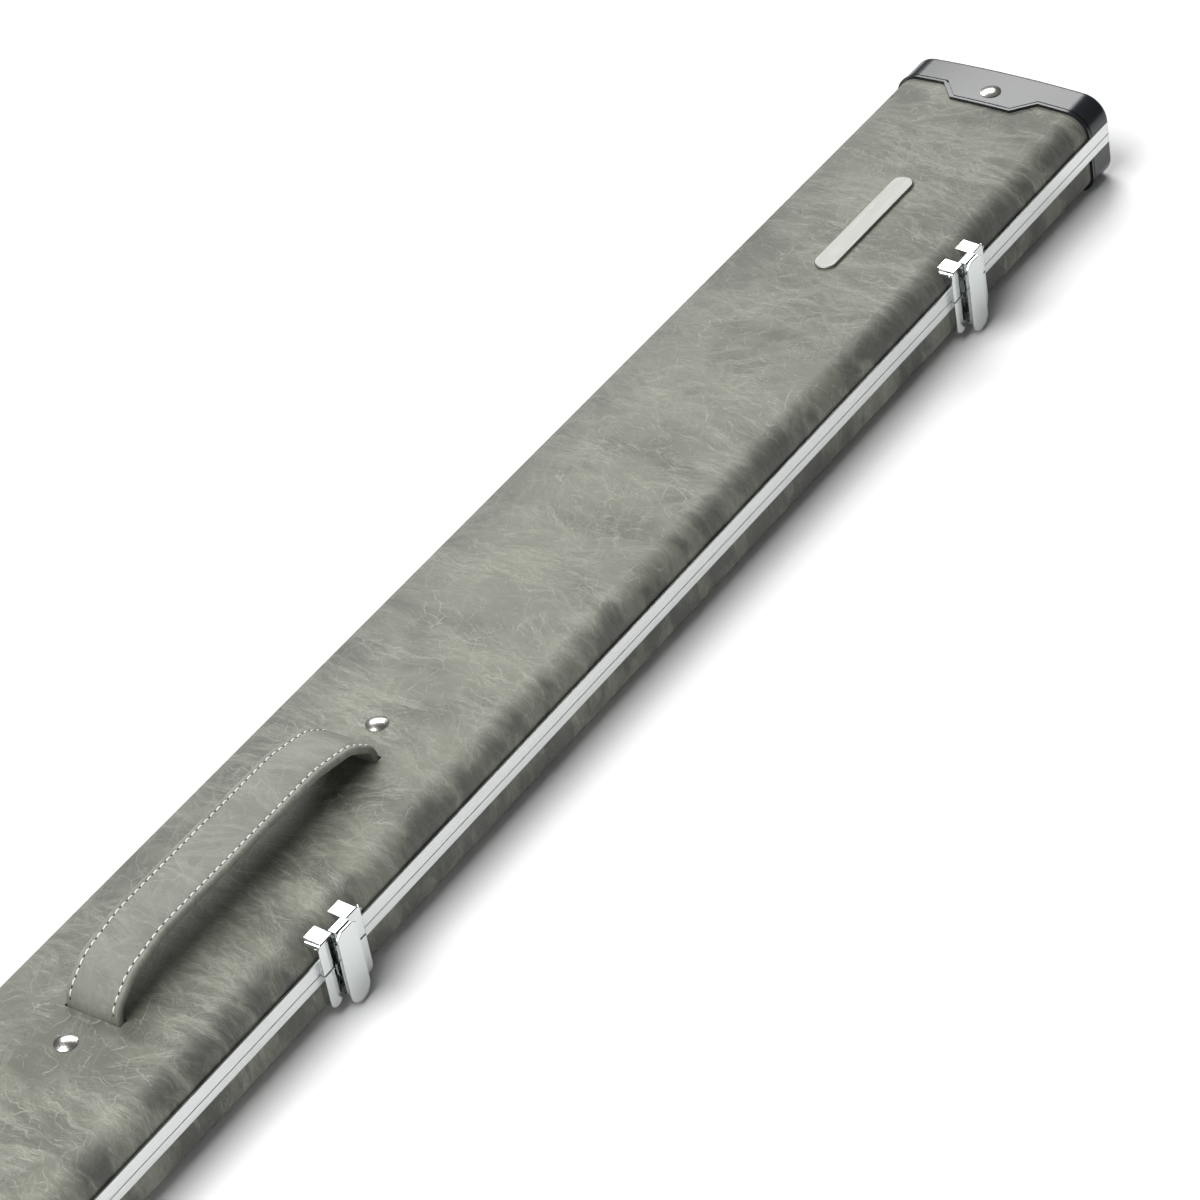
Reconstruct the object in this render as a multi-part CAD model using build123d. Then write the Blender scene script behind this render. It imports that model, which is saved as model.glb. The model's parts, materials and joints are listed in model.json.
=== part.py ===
from build123d import *
import math
import os

# A hard case for a jointed cue: a leatherette lid and base, each a bent-board tub with aluminium edge
# trims and black end caps, joined by three hinges and held shut by three spring latches.
# Millimetres. X runs along the case, -Y is the latch side, Z is up. The case is drawn about its own
# mid-plane and moved by ORIGIN_SHIFT_Y on export, so that the origin is under the bounding box's centre.

# Overall size
LENGTH = 1250.0
WIDTH = 104.0
LID_TOP = 44.2
CAP_PROUD = 1.2
PART_Z = 24.6
PART_GAP = 0.18

# Cross-section
LID_CORNER_R = 11.5
BASE_CORNER_R = 9.0
CROWN_R = 725.0
COVER_T = 0.9
BOARD_T = 3.0
LINING_T = 0.8
END_BOARD_T = 6.0
CAP_END_T = 2.0

# End caps, in plan
CAP_DEPTH = 19.0
CAP_TAB_DEPTH = 29.5
CAP_TAB_HALF = 16.5
CAP_TAB_FOOT = 26.0
CAP_EDGE_R = 2.4
RIM_W = 1.3
RIM_H = 0.35
RIM_GROOVE_W = 1.1
RIM_GROOVE_DEPTH = 0.75

# Edge trims
TRIM_FLANGE = 1.5
TRIM_EDGE_R = 0.3
TRIM_SLOT = 0.7
TRIM_SLOT_DEPTH = 2.4
LID_TRIM_H = 6.65
BASE_TRIM_H = 4.45
LID_WEB = 1.25
BASE_WEB = 2.05
TRIM_INNER_H = 4.0
TONGUE_W = 1.0
TONGUE_DEPTH = 0.95
GROOVE_SIDE_GAP = 0.35
GROOVE_DEPTH = 1.25

# Handle
HANDLE_HALF = 84.5
HANDLE_TOP = 63.4
STRAP_W = 28.0
STRAP_T = 4.4
STRIP_W = 16.0
STRIP_T = 1.2
STRIP_END = 112.0
HANDLE_RIVET_X = 103.0
RIVET_HEAD_R = 5.0
RIVET_HEAD_H = 1.5
RIVET_SHANK_R = 2.0
CAP_RIVET_X = 606.5

# Badge: a plain bar
BADGE_X = 490.0
BADGE_L = 78.0
BADGE_W = 11.0
BADGE_T = 1.4

# Latches
LATCH_X = (-488.6, 0.0, 488.6)
LATCH_NAMES = ("left", "centre", "right")
LATCH_FACE_Y = -56.0
LATCH_HALF = 13.9
PLATE_T = 0.9
EAR_INNER = 4.5
EAR_TOP = 40.4
EAR_CORNER_R = 2.5
TAB_RISE = 0.7
KEEPER_INNER = 6.7
KEEPER_LOW = 5.6
PIN_Y = -54.6
PIN_Z = 37.8
PIN_R = 1.2
BARREL_R = 3.2
BARREL_HALF = 4.2
LEVER_HALF = 6.2
LEVER_FACE_Y = -60.0
LEVER_T = 1.0
LEVER_LOW = 2.0
LEVER_TOP = 41.4
SHOULDER_W = 2.8
SHOULDER_H = 2.2
LIP_Z = 8.0
LIP_T = 0.9
LIP_REACH = 2.8
SPRING_W = 10.0
SMALL_RIVET_R = 1.2

# Hinges
HINGE_X = LATCH_X
HINGE_HALF = 20.0
HINGE_T = 1.0
KNUCKLE_R = 1.9
HINGE_PIN_R = 1.0
KNUCKLES = 5
HINGE_RIVET_X = 13.0

# Inside
DIVIDER_T = 3.0
DIVIDER_TOP = 22.0
FRONT_BAY = 31.0
MIDDLE_BAY = 31.0
CHALK_PARTITION_X = 535.0
REST_X = (-300.0, 300.0)
REST_LENGTH = 30.0
REST_TOP = 16.0
NOTCH_R = 13.0
NOTCH_Z = 21.0
PAD_X = (-450.0, -200.0, 200.0, 450.0)
PAD_LENGTH = 40.0
PAD_LOW = 34.0
PAD_HALF = 43.0

FIT = 0.05      # radial clearance of pins and rivet shanks
SEAT = 0.05     # gap between a plate and the surface under it

# Worked out from the dimensions above
HALF_W = WIDTH / 2
HALF_L = LENGTH / 2
TUB_END = HALF_L - CAP_END_T
INNER_END = TUB_END - END_BOARD_T
LID_LOW = PART_Z + PART_GAP / 2
BASE_HIGH = PART_Z - PART_GAP / 2
LID_TRIM_TOP = LID_LOW + LID_TRIM_H
BASE_TRIM_LOW = BASE_HIGH - BASE_TRIM_H
LID_EDGE = LID_LOW + LID_WEB
BASE_EDGE = BASE_HIGH - BASE_WEB
BOARD_IN = COVER_T + BOARD_T
LINING_IN = BOARD_IN + LINING_T
TRIM_FACE_Y = HALF_W + TRIM_FLANGE
BASE_LOW = CAP_PROUD
HINGE_Y = TRIM_FACE_Y + SEAT + KNUCKLE_R
FLOOR_Z = BASE_LOW + LINING_IN
CEILING_Z = LID_TOP - LINING_IN
HINGE_REACH = HINGE_Y + KNUCKLE_R
ORIGIN_SHIFT_Y = (-LEVER_FACE_Y - HINGE_REACH) / 2


def box(x, y, z):
    """A box from three (low, high) pairs."""
    size = [high - low for low, high in (x, y, z)]
    middle = [(high + low) / 2 for low, high in (x, y, z)]
    return Pos(*middle) * Box(*size)


def along_x(face, x_low, x_high):
    """A YZ outline drawn out along X."""
    return Pos(x_low, 0, 0) * extrude(Plane.YZ * face, amount=x_high - x_low)


def towards_front(face, y_back, y_front):
    """An XZ outline drawn out from y_back to y_front, which is the more negative."""
    return Pos(0, y_back, 0) * extrude(Plane.XZ * face, amount=y_back - y_front)


def lid_section(inset, low):
    """The lid's outline, inset from the leatherette's face: upright sides, round corners, a low crown."""
    centre_y = HALF_W - LID_CORNER_R
    crown_z = LID_TOP - CROWN_R
    centre_z = crown_z + math.sqrt((CROWN_R - LID_CORNER_R) ** 2 - centre_y**2)
    lean = math.atan2(centre_z - crown_z, centre_y)
    radius = LID_CORNER_R - inset

    def on_corner(side, angle):
        return (side * (centre_y + radius * math.cos(angle)), centre_z + radius * math.sin(angle))

    edges = [Line((-HALF_W + inset, low), (HALF_W - inset, low))]
    for side in (1, -1):
        foot = (side * (HALF_W - inset), low)
        edges += [Line(foot, on_corner(side, 0))]
        edges += [ThreePointArc(*(on_corner(side, lean * t) for t in (0, 0.5, 1)))]
    edges += [ThreePointArc(on_corner(1, lean), (0, LID_TOP - inset), on_corner(-1, lean))]
    return make_face(edges)


def base_section(inset, high):
    """The base's outline, inset from the leatherette's face: flat bottom, round corners."""
    half = HALF_W - inset
    low = BASE_LOW + inset
    outline = Pos(0, (low + high) / 2) * Rectangle(2 * half, high - low)
    return fillet(outline.vertices().group_by(Axis.Y)[0], BASE_CORNER_R - inset)


def cap_plan(side, inset=0.0):
    """What an end cap covers, seen from above: a strip with a tapered tab in the middle."""
    rim = HALF_L - CAP_DEPTH
    tab = HALF_L - CAP_TAB_DEPTH
    out = HALF_L + 5
    wide = WIDTH
    half = [(out, wide), (rim, wide), (rim, CAP_TAB_FOOT), (tab, CAP_TAB_HALF)]
    points = [(side * x, y) for x, y in half] + [(side * x, -y) for x, y in reversed(half)]
    plan = make_face(Polyline(*points, close=True))
    if inset:
        plan = offset(plan, -inset, kind=Kind.INTERSECTION)
    return extrude(plan, amount=100, both=True)


def cap_rim(side, section, split_z):
    """The raised rim that follows an end cap's inner edge. It doesn't go below the floor."""
    span = sorted((side * (HALF_L - CAP_TAB_DEPTH - 1), side * (HALF_L - CAP_DEPTH + 3)))
    rim = along_x(section(-CAP_PROUD - RIM_H, split_z), *span) & cap_plan(side)
    return (rim - cap_plan(side, RIM_W)) & box((-LENGTH, LENGTH), (-WIDTH, WIDTH), (0, 100))


def cap_groove(side, section, split_z):
    """The groove behind the raised rim. It stops short of the floor."""
    span = sorted((side * (HALF_L - CAP_TAB_DEPTH - 1), side * (HALF_L - CAP_DEPTH + 5)))
    around = box(span, (-WIDTH, WIDTH), (BASE_LOW + 4, 100))
    around -= along_x(section(RIM_GROOVE_DEPTH - CAP_PROUD, split_z), *span)
    return around & (cap_plan(side, RIM_W) - cap_plan(side, RIM_W + RIM_GROOVE_W))


def end_cap(side, section, split_z, trim_z):
    """A moulded cup over one end. It stops at the trim along the sides and at split_z on the end."""
    start, stop = sorted((side * (HALF_L - CAP_TAB_DEPTH - 1), side * HALF_L))
    outer = along_x(section(-CAP_PROUD, split_z), start, stop)
    end_face = outer.faces().sort_by(Axis.X)[-1 if side > 0 else 0]
    rounded = [e for e in end_face.edges() if abs(e.center().Z - split_z) > 0.5]
    outer = fillet(rounded, CAP_EDGE_R)
    inside = sorted((side * (HALF_L - CAP_TAB_DEPTH - 2), side * TUB_END))
    core = along_x(section(0, split_z + (1 if split_z < trim_z else -1) * -5), *inside)
    cup = (outer & cap_plan(side)) + cap_rim(side, section, split_z)
    cup -= cap_groove(side, section, split_z) + core
    return cup - box(inside, (-WIDTH, WIDTH), sorted((split_z - (trim_z - split_z), trim_z)))


def trim_section(lid, tongue):
    """One edge trim at -Y: an outer flange, a web under the shell's edge, an inner flange.

    The top of the lid's outer flange stands off the leatherette, which leaves a thin dark slot behind it.
    """
    way = 1 if lid else -1
    foot = LID_LOW if lid else BASE_HIGH
    height = LID_TRIM_H if lid else BASE_TRIM_H
    web = LID_WEB if lid else BASE_WEB
    face_y = -TRIM_FACE_Y
    inner_y = -HALF_W + LINING_IN

    def block(y_low, y_high, near, far):
        z_low, z_high = sorted((foot + way * near, foot + way * far))
        return Pos((y_low + y_high) / 2, (z_low + z_high) / 2) * Rectangle(y_high - y_low, z_high - z_low)

    flange = block(face_y, -HALF_W, 0, height)
    flange = fillet(flange.vertices().sort_by(Axis.X)[:2], TRIM_EDGE_R)
    section = flange + block(-HALF_W - 0.1, inner_y, 0, web)
    section += block(inner_y - LINING_T, inner_y, 0, web + TRIM_INNER_H)
    if lid:
        section -= block(-HALF_W - TRIM_SLOT, -HALF_W + 0.1, height - TRIM_SLOT_DEPTH, height + 1)
    middle_y = -HALF_W + 2.3
    if tongue and lid:
        section += block(middle_y - TONGUE_W / 2, middle_y + TONGUE_W / 2, -TONGUE_DEPTH, 0.1)
    if tongue and not lid:
        reach = TONGUE_W / 2 + GROOVE_SIDE_GAP
        section -= block(middle_y - reach, middle_y + reach, -0.1, GROOVE_DEPTH)
    return section


def trim(lid, back):
    """An edge trim as long as the tub. Only the front pair has a tongue and groove."""
    rail = along_x(trim_section(lid, tongue=not back), -TUB_END, TUB_END)
    return mirror(rail, Plane.XZ) if back else rail


def trim_room(edge_z, split_z, inner_flange_z):
    """Where the trims' webs and inner flanges lie along a tub's two edges."""
    beyond = split_z + (split_z - edge_z) * 5
    room = []
    for side in (1, -1):
        web_y = sorted((side * (HALF_W - LINING_IN), side * WIDTH))
        flange_y = sorted((side * (HALF_W - LINING_IN), side * (HALF_W - BOARD_IN)))
        room += [box((-HALF_L, HALF_L), web_y, sorted((beyond, edge_z)))]
        room += [box((-HALF_L, HALF_L), flange_y, sorted((beyond, inner_flange_z)))]
    return room


def boards(section, inner, joint_y, edge_z, split_z, inner_flange_z):
    """A tub's boards: the broad one, the pair along the sides and the pair across the ends."""
    solid = along_x(section(COVER_T, split_z), -TUB_END, TUB_END)
    for room in trim_room(edge_z, split_z, inner_flange_z):
        solid -= room
    shell = solid - along_x(inner, -INNER_END, INNER_END)
    middle_x = (-INNER_END, INNER_END)
    broad = shell & box(middle_x, (-joint_y, joint_y), (-5, 60))
    sides = []
    ends = []
    for side in (-1, 1):
        side_y = sorted((side * joint_y, side * WIDTH))
        end_x = sorted((side * INNER_END, side * HALF_L))
        sides.append(shell & box(middle_x, side_y, (-5, 60)))
        ends.append(solid & box(end_x, (-WIDTH, WIDTH), (-5, 60)))
    return broad, sides, ends


def base_room(inset):
    """The room inside the base: square corners, open at the top."""
    half = HALF_W - inset
    low = BASE_LOW + inset
    return Pos(0, (low + 40) / 2) * Rectangle(2 * half, 40 - low)


def lid_lining():
    """The velour inside the lid, starting at the trims' inner flanges."""
    edge = LID_EDGE + TRIM_INNER_H
    skin = along_x(lid_section(BOARD_IN, edge), -INNER_END, INNER_END)
    return skin - along_x(lid_section(LINING_IN, edge - 5), -INNER_END + LINING_T, INNER_END - LINING_T)


def base_lining():
    """The velour inside the base, up to the trims' inner flanges."""
    skin = along_x(base_room(BOARD_IN), -INNER_END, INNER_END)
    skin &= box((-LENGTH, LENGTH), (-WIDTH, WIDTH), (0, BASE_EDGE - TRIM_INNER_H))
    return skin - along_x(base_room(LINING_IN), -INNER_END + LINING_T, INNER_END - LINING_T)


def cover(section, edge_z):
    """The leatherette round a tub's outside."""
    beyond = edge_z + (5 if section is base_section else -5)
    return along_x(section(0, edge_z), -TUB_END, TUB_END) - along_x(section(COVER_T, beyond), -HALF_L, HALF_L)


def rivet(head_r, head_h, shank_r, shank):
    """A rivet on the Z axis with a spherical head, its head's seat at z = 0 and its shank below."""
    rim = 0.3
    rise = head_h - rim
    sphere_r = (head_r**2 + rise**2) / (2 * rise)
    half_way = math.asin(head_r / sphere_r) / 2
    bow = (sphere_r * math.sin(half_way), head_h - sphere_r * (1 - math.cos(half_way)))
    outline = Polyline((0, head_h), (0, -shank), (shank_r, -shank), (shank_r, 0), (head_r, 0), (head_r, rim))
    dome = ThreePointArc((head_r, rim), bow, (0, head_h))
    return revolve(Plane.XZ * make_face(outline + dome), Axis.Z)


def at(shape, x, y, z, way="+Z"):
    """Places a rivet with its head facing way."""
    turn = {"+Z": (0, 0, 0), "-Z": (180, 0, 0), "-Y": (90, 0, 0), "+Y": (-90, 0, 0)}[way]
    return Pos(x, y, z) * Rot(*turn) * shape


def drilled(shape, holes):
    """Cuts each (x, y, z, way, radius, depth) hole, from 3 above its seat to its depth."""
    for x, y, z, way, radius, depth in holes:
        drill = Pos(0, 0, (3 - depth) / 2) * Cylinder(radius + FIT, depth + 3)
        shape -= at(drill, x, y, z, way)
    return shape


def strip(points, radii, width, thickness):
    """A flat strip whose middle follows points in the XZ plane, its width along Y."""
    path = FilletPolyline(*[(x, 0, z) for x, z in points], radius=radii)
    section = Plane(origin=path @ 0, x_dir=(0, 1, 0), z_dir=path % 0) * Rectangle(width, thickness)
    return sweep(section, path)


def mirrored_route(half):
    """A route from -X to +X, from its +X half listed outwards from the middle."""
    return [(-x, z) for x, z in reversed(half)] + half


def handle_parts():
    """The leather strap and the sprung steel strip inside it, whose ends lie flat under the lid."""
    arch = [(50.0, HANDLE_TOP), (72.0, 59.0), (HANDLE_HALF, 49.5)]
    foot_z = LID_TOP - BOARD_IN
    flat_z = CEILING_Z - 0.1 - STRIP_T / 2
    strap_route = mirrored_route(arch + [(HANDLE_HALF, foot_z)])
    bends = [9.0, 18.0, 30.0]
    strap = strip(strap_route, bends + bends[::-1], STRAP_W, STRAP_T)
    steel_route = mirrored_route(arch + [(HANDLE_HALF, flat_z), (STRIP_END, flat_z)])
    steel_bends = [1.2] + bends
    steel = strip(steel_route, steel_bends + steel_bends[::-1], STRIP_W, STRIP_T)
    room = strip(steel_route, steel_bends + steel_bends[::-1], STRIP_W + 2 * FIT, STRIP_T + 2 * FIT)
    return strap - room, steel


def handle_slots():
    """The two openings in the lid that the handle's ends go through."""
    half_t = STRAP_T / 2 + 0.15
    half_w = STRAP_W / 2 + 0.2
    return [
        box((x - half_t, x + half_t), (-half_w, half_w), (CEILING_Z - 2, LID_TOP + 1))
        for x in (-HANDLE_HALF, HANDLE_HALF)
    ]


def pan(outline, y_back):
    """A pressed half-shell: a front face and a wall all round it, open at the back."""
    block = towards_front(outline, y_back, LATCH_FACE_Y)
    block = fillet(block.edges().filter_by_position(Axis.Y, LATCH_FACE_Y - 0.01, LATCH_FACE_Y + 0.01), 0.6)
    inner = offset(outline, -PLATE_T, kind=Kind.INTERSECTION)
    return block - towards_front(inner, y_back + 1, LATCH_FACE_Y + PLATE_T)


def mirrored_pair(solid):
    return solid + mirror(solid, Plane.YZ)


def pin_hole():
    return Pos(0, PIN_Y, PIN_Z) * Rot(0, 90, 0) * Cylinder(PIN_R + FIT, 60)


def latch_bracket():
    """The lid's half of a latch: two ears with tabs bent in over the lid, and a plate between them."""
    width = LATCH_HALF - EAR_INNER
    low = LID_LOW + 0.1
    ear = Pos((LATCH_HALF + EAR_INNER) / 2, (low + EAR_TOP) / 2) * Rectangle(width, EAR_TOP - low)
    ear = fillet(ear.vertices().group_by(Axis.Y)[-1].sort_by(Axis.X)[-1], EAR_CORNER_R)
    tab_top = [(-55.4, EAR_TOP - 0.02), (-46.0, EAR_TOP + TAB_RISE)]
    tab = make_face(Polyline(*tab_top, (-46.0, EAR_TOP - 0.5), (-55.4, EAR_TOP - 0.5), close=True))
    bracket = pan(ear, -44.0) + along_x(tab, EAR_INNER, LATCH_HALF - EAR_CORNER_R + 0.4)
    bracket = mirrored_pair(bracket)
    back = (-TRIM_FACE_Y - SEAT - PLATE_T, -TRIM_FACE_Y - SEAT)
    bracket += box((-EAR_INNER - 0.5, EAR_INNER + 0.5), back, (low, 31.0))
    bracket -= along_x(lid_section(-SEAT, 20), -20, 20)
    bracket -= box((-20, 20), (-TRIM_FACE_Y - SEAT, -40), (20, LID_TRIM_TOP + SEAT))
    return bracket - pin_hole()


def latch_keeper():
    """The base's half of a latch: two round-ended legs and a plate between them."""
    width = LATCH_HALF - KEEPER_INNER
    high = BASE_HIGH - 0.1
    leg = Pos((LATCH_HALF + KEEPER_INNER) / 2, (high + KEEPER_LOW) / 2) * Rectangle(width, high - KEEPER_LOW)
    leg = fillet(leg.vertices().group_by(Axis.Y)[0], width / 2 - 0.05)
    keeper = mirrored_pair(pan(leg, -44.0))
    back = (-TRIM_FACE_Y - SEAT - PLATE_T, -TRIM_FACE_Y - SEAT)
    keeper += box((-KEEPER_INNER - 0.5, KEEPER_INNER + 0.5), back, (12.0, high))
    keeper -= along_x(base_section(-SEAT, 30), -20, 20)
    return keeper - box((-20, 20), (-TRIM_FACE_Y - SEAT, -40), (BASE_TRIM_LOW - SEAT, 30))


def latch_lever():
    """The moving lever: a round-ended plate, side flanges, a lip that the spring holds, a barrel."""
    height = LEVER_TOP - LEVER_LOW
    plate = Pos(0, (LEVER_TOP + LEVER_LOW) / 2) * Rectangle(2 * LEVER_HALF, height)
    plate = fillet(plate.vertices().group_by(Axis.Y)[0], LEVER_HALF - 0.05)
    for side in (-1, 1):
        edge = side * LEVER_HALF
        corner = [(edge - side * SHOULDER_W, LEVER_TOP), (edge, LEVER_TOP - SHOULDER_H), (edge, LEVER_TOP)]
        plate -= make_face(Polyline(*corner, close=True))
    inner_y = LEVER_FACE_Y + LEVER_T
    front = towards_front(plate, inner_y, LEVER_FACE_Y)
    front = fillet(front.edges().filter_by_position(Axis.Y, LEVER_FACE_Y - 0.01, LEVER_FACE_Y + 0.01), 0.45)
    flange = box((LEVER_HALF - 0.7, LEVER_HALF), (inner_y - 0.2, inner_y + 1.0), (LIP_Z, 36.0))
    lip_half = LEVER_HALF - 0.4
    lip = box((-lip_half, lip_half), (inner_y - 0.2, inner_y + LIP_REACH), (LIP_Z, LIP_Z + LIP_T))
    barrel = Pos(0, PIN_Y, PIN_Z) * Rot(0, 90, 0) * Cylinder(BARREL_R, 2 * BARREL_HALF)
    crest = PIN_Z + BARREL_R
    curl_top = [(PIN_Y, crest), (inner_y + 1.6, crest)]
    curl_top += [(inner_y + 0.5, crest - 0.6), (inner_y - 0.2, crest - 1.3)]
    curl_low = [(inner_y - 0.2, PIN_Z + 1.0), (PIN_Y, PIN_Z + 1.5)]
    curl = along_x(make_face(Polyline(*curl_top, *curl_low, close=True)), -BARREL_HALF, BARREL_HALF)
    lever = front + mirrored_pair(flange) + lip + barrel + curl
    return lever - Pos(0, PIN_Y, PIN_Z) * Rot(0, 90, 0) * Cylinder(PIN_R + FIT, 20)


def latch_pin():
    """The lever's pin, headed outside the ears."""
    shank = Cylinder(PIN_R, 2 * LATCH_HALF + 0.4)
    head = Cylinder(1.5, 0.3)
    reach = LATCH_HALF + 0.05 + 0.15
    return Pos(0, PIN_Y, PIN_Z) * Rot(0, 90, 0) * (shank + Pos(0, 0, reach) * head + Pos(0, 0, -reach) * head)


def latch_spring():
    """The leaf spring that snaps over the lever's lip. It is riveted to the keeper's plate."""
    seat_y = -TRIM_FACE_Y - 2 * SEAT - PLATE_T - 0.2
    nib_y = LEVER_FACE_Y + LEVER_T + 1.5
    nib_z = LIP_Z + LIP_T + 0.35
    points = [(0, seat_y, BASE_HIGH - 0.8), (0, seat_y, 18.0), (0, nib_y, 11.6), (0, nib_y + 0.9, nib_z)]
    path = FilletPolyline(*points, radius=0.8)
    return sweep(Plane(origin=path @ 0, x_dir=(1, 0, 0), z_dir=path % 0) * Rectangle(SPRING_W, 0.4), path)


def knuckle_spans(lid):
    """The X spans of one leaf's knuckles."""
    pitch = 2 * HINGE_HALF / KNUCKLES
    starts = [-HINGE_HALF + i * pitch for i in range(1 if lid else 0, KNUCKLES, 2)]
    return [(start + 0.1, start + pitch - 0.1) for start in starts]


def hinge_barrel(radius, span):
    length = span[1] - span[0]
    return Pos((span[0] + span[1]) / 2, HINGE_Y, PART_Z) * Rot(0, 90, 0) * Cylinder(radius, length)


def hinge_leaf(lid):
    """One leaf on the back trim, with its knuckles and room for the other leaf's."""
    y = (TRIM_FACE_Y + SEAT, TRIM_FACE_Y + SEAT + HINGE_T)
    z = (PART_Z + 0.3, LID_TRIM_TOP - 0.2) if lid else (BASE_TRIM_LOW + 0.2, PART_Z - 0.3)
    leaf = box((-HINGE_HALF, HINGE_HALF), y, z)
    for span in knuckle_spans(not lid):
        leaf -= hinge_barrel(KNUCKLE_R + 0.15, (span[0] - 0.15, span[1] + 0.15))
    for span in knuckle_spans(lid):
        leaf += box(span, y, sorted((PART_Z, PART_Z + (1 if lid else -1) * 0.8)))
        leaf += hinge_barrel(KNUCKLE_R, span)
    return leaf - hinge_barrel(HINGE_PIN_R + FIT, (-30, 30))


def cue_rests(y_low, y_high):
    """Foam blocks across one bay, each with a round notch for the cue."""
    middle = (y_low + y_high) / 2
    block = box((-REST_LENGTH / 2, REST_LENGTH / 2), (y_low + 0.1, y_high - 0.1), (FLOOR_Z + 0.05, REST_TOP))
    block -= Pos(0, middle, NOTCH_Z) * Rot(0, 90, 0) * Cylinder(NOTCH_R, 100)
    return [Pos(x, 0, 0) * block for x in REST_X]


def save(name, shape):
    """Writes one node. A list is a group of separate solids."""
    parts = shape if isinstance(shape, list) else [shape]
    solids = [Pos(0, ORIGIN_SHIFT_Y, 0) * solid for part in parts for solid in part.solids()]
    export_step(solids[0] if len(solids) == 1 else Compound(children=solids), f"parts/{name}.step")


# Where the rivets go: (x, y, z of the seat, head's way, shank radius, shank length)
shell_depth = 5.0
handle_holes = [(x, 0, LID_TOP, "+Z", RIVET_SHANK_R, 8.0) for x in (-HANDLE_RIVET_X, HANDLE_RIVET_X)]
cap_rivet_x = (-CAP_RIVET_X, CAP_RIVET_X)
lid_cap_holes = [(x, 0, LID_TOP + CAP_PROUD, "+Z", RIVET_SHANK_R, shell_depth) for x in cap_rivet_x]
base_cap_holes = [(x, 0, BASE_LOW + 0.3, "-Z", RIVET_SHANK_R, 3.6) for x in cap_rivet_x]
plate_y = -TRIM_FACE_Y - SEAT - PLATE_T
bracket_x = [x + u for x in LATCH_X for u in (-2.2, 2.2)]
bracket_holes = [(x, plate_y, 28.2, "-Y", SMALL_RIVET_R, shell_depth) for x in bracket_x]
keeper_holes = [(x, plate_y - 2 * SEAT - 0.4, 21.0, "-Y", SMALL_RIVET_R, shell_depth) for x in LATCH_X]
leaf_y = TRIM_FACE_Y + SEAT + HINGE_T
hinge_u = (-HINGE_RIVET_X, 0, HINGE_RIVET_X)
lid_hinge_holes = [(x + u, leaf_y, 28.9, "+Y", SMALL_RIVET_R, shell_depth) for x in HINGE_X for u in hinge_u]
base_hinge_holes = [(x + u, leaf_y, 21.4, "+Y", 0.75, shell_depth) for x in HINGE_X for u in hinge_u]


def rivets(holes, head_r, head_h):
    """A rivet for each hole."""
    made = []
    for x, y, z, way, radius, depth in holes:
        made.append(at(rivet(head_r, head_h, radius, depth - 0.2), x, y, z, way))
    return made


# Lid
lid_holes = handle_holes + lid_cap_holes + bracket_holes + lid_hinge_holes
slots = handle_slots()
save("lid_cover", drilled(cover(lid_section, LID_EDGE), lid_holes) - slots)
lid_inner = lid_section(BOARD_IN, LID_LOW - 10)
lid_boards = boards(lid_section, lid_inner, HALF_W - LID_CORNER_R, LID_EDGE, LID_LOW, LID_EDGE + TRIM_INNER_H)
save("lid_top_board", drilled(lid_boards[0], lid_holes) - slots)
save("lid_side_boards", [drilled(side, bracket_holes + lid_hinge_holes) for side in lid_boards[1]])
save("lid_end_boards", lid_boards[2])
save("lid_lining", drilled(lid_lining(), handle_holes) - slots)
save("lid_trim_front", drilled(trim(lid=True, back=False), bracket_holes))
save("lid_trim_back", drilled(trim(lid=True, back=True), lid_hinge_holes))
for side, word in ((-1, "left"), (1, "right")):
    cap = end_cap(side, lid_section, LID_LOW, LID_TRIM_TOP)
    save(f"lid_end_cap_{word}", drilled(cap, lid_cap_holes))
save("lid_cap_rivets", rivets(lid_cap_holes, RIVET_HEAD_R, RIVET_HEAD_H))
pad = along_x(lid_section(LINING_IN + 0.05, PAD_LOW), -PAD_LENGTH / 2, PAD_LENGTH / 2)
pad &= box((-PAD_LENGTH, PAD_LENGTH), (-PAD_HALF, PAD_HALF), (0, 60))
save("lid_pads", [Pos(x, 0, 0) * pad for x in PAD_X])

# Handle
strap, steel = handle_parts()
save("handle_strap", strap)
save("handle_steel_strip", drilled(steel, handle_holes))
save("handle_rivets", rivets(handle_holes, RIVET_HEAD_R, RIVET_HEAD_H))
washer_top = CEILING_Z - 0.1 - STRIP_T - SEAT
washer = box((-8, 8), (-8, 8), (washer_top - 1, washer_top))
washers = [Pos(x, 0, 0) * washer for x in (-HANDLE_RIVET_X, HANDLE_RIVET_X)]
save("handle_backing_plates", [drilled(w, handle_holes) for w in washers])

badge_x = (BADGE_X - BADGE_L / 2, BADGE_X + BADGE_L / 2)
badge = box(badge_x, (-BADGE_W / 2, BADGE_W / 2), (LID_TOP - 3, LID_TOP + BADGE_T))
badge = fillet(badge.edges().filter_by(Axis.Z), BADGE_W / 2 - 0.05)
badge = chamfer(badge.faces().sort_by(Axis.Z)[-1].edges(), 0.4)
save("badge", badge - along_x(lid_section(-SEAT, 30), 0, HALF_L))

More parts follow.
